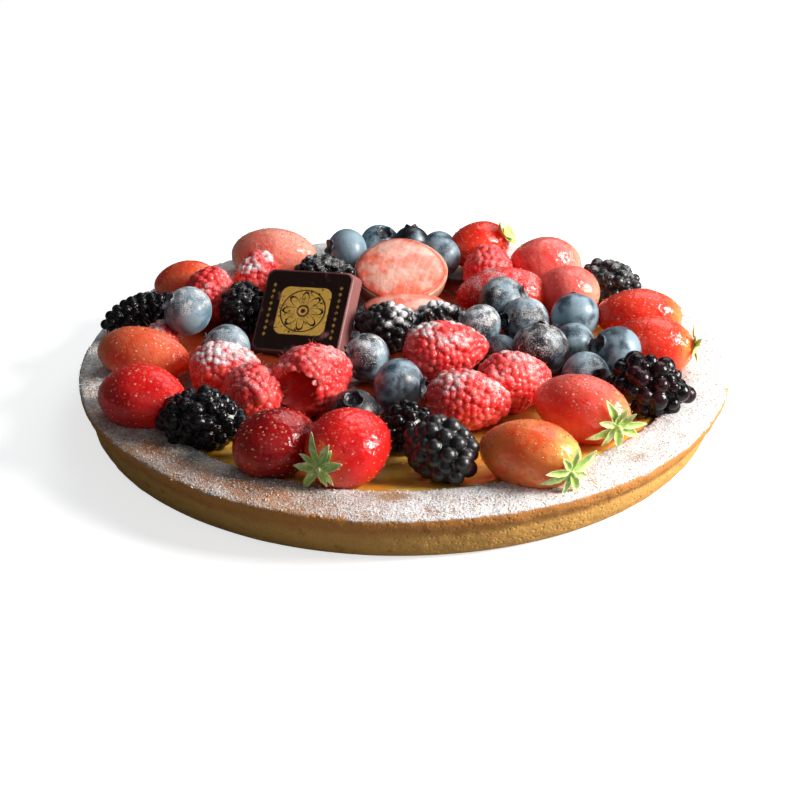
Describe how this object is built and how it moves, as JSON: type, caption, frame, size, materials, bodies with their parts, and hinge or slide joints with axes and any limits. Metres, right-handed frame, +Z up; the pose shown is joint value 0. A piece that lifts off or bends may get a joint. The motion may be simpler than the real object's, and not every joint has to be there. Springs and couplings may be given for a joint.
{
  "type": "fruit tart",
  "caption": "Round shortcrust tart with a sugared flat rim, custard and a close layer of mixed berries round a leaning chocolate tile.",
  "frame": {"origin": "middle of the flat underside", "axes": "+Z up; the tart is seen from -Y, with +X to the right"},
  "size_m": [0.2175, 0.2193, 0.0374],
  "materials": {
    "shortcrust": "dry baked crumb, golden brown at the side, icing sugar on the rim",
    "custard": "smooth set custard under a thin clear glaze",
    "chocolate": "satin dark chocolate with a gold printed rosette",
    "strawberry": "glossy wet skin with small pale seeds",
    "raspberry": "soft drupelets with fine pale hairs and icing sugar",
    "bramble": "near black glossy drupelets",
    "blueberry": "slate blue skin with a pale waxy bloom"
  },
  "bodies": {
    "root": {"blueberry_01": "blueberry", "blueberry_02": "blueberry", "blueberry_03": "blueberry", "blueberry_04": "blueberry", "blueberry_05": "blueberry", "blueberry_06": "blueberry", "blueberry_07": "blueberry", "blueberry_08": "blueberry", "blueberry_09": "blueberry", "blueberry_10": "blueberry", "blueberry_11": "blueberry", "blueberry_12": "blueberry", "blueberry_13": "blueberry", "blueberry_14": "blueberry", "blueberry_15": "blueberry", "blueberry_16": "blueberry", "blueberry_17": "blueberry", "blueberry_18": "blueberry", "blueberry_19": "blueberry", "blueberry_20": "blueberry", "bramble_01": "bramble", "bramble_02": "bramble", "bramble_03": "bramble", "bramble_04": "bramble", "bramble_05": "bramble", "bramble_06": "bramble", "bramble_07": "bramble", "bramble_08": "bramble", "bramble_09": "bramble", "bramble_10": "bramble", "chocolate_tile": "chocolate", "crust": "shortcrust", "custard": "custard", "raspberry_01": "raspberry", "raspberry_02": "raspberry", "raspberry_03": "raspberry", "raspberry_04": "raspberry", "raspberry_05": "raspberry", "raspberry_06": "raspberry", "raspberry_07": "raspberry", "raspberry_08": "raspberry", "raspberry_09": "raspberry", "raspberry_10": "raspberry", "raspberry_11": "raspberry", "strawberry_01": "strawberry", "strawberry_02": "strawberry", "strawberry_03": "strawberry", "strawberry_04": "strawberry", "strawberry_05": "strawberry", "strawberry_06": "strawberry", "strawberry_07": "strawberry", "strawberry_08": "strawberry", "strawberry_09": "strawberry", "strawberry_10": "strawberry", "strawberry_11": "strawberry", "strawberry_12": "strawberry", "strawberry_13": "strawberry", "strawberry_14": "strawberry", "strawberry_15": "strawberry", "strawberry_16": "strawberry"}
  },
  "joints": []
}
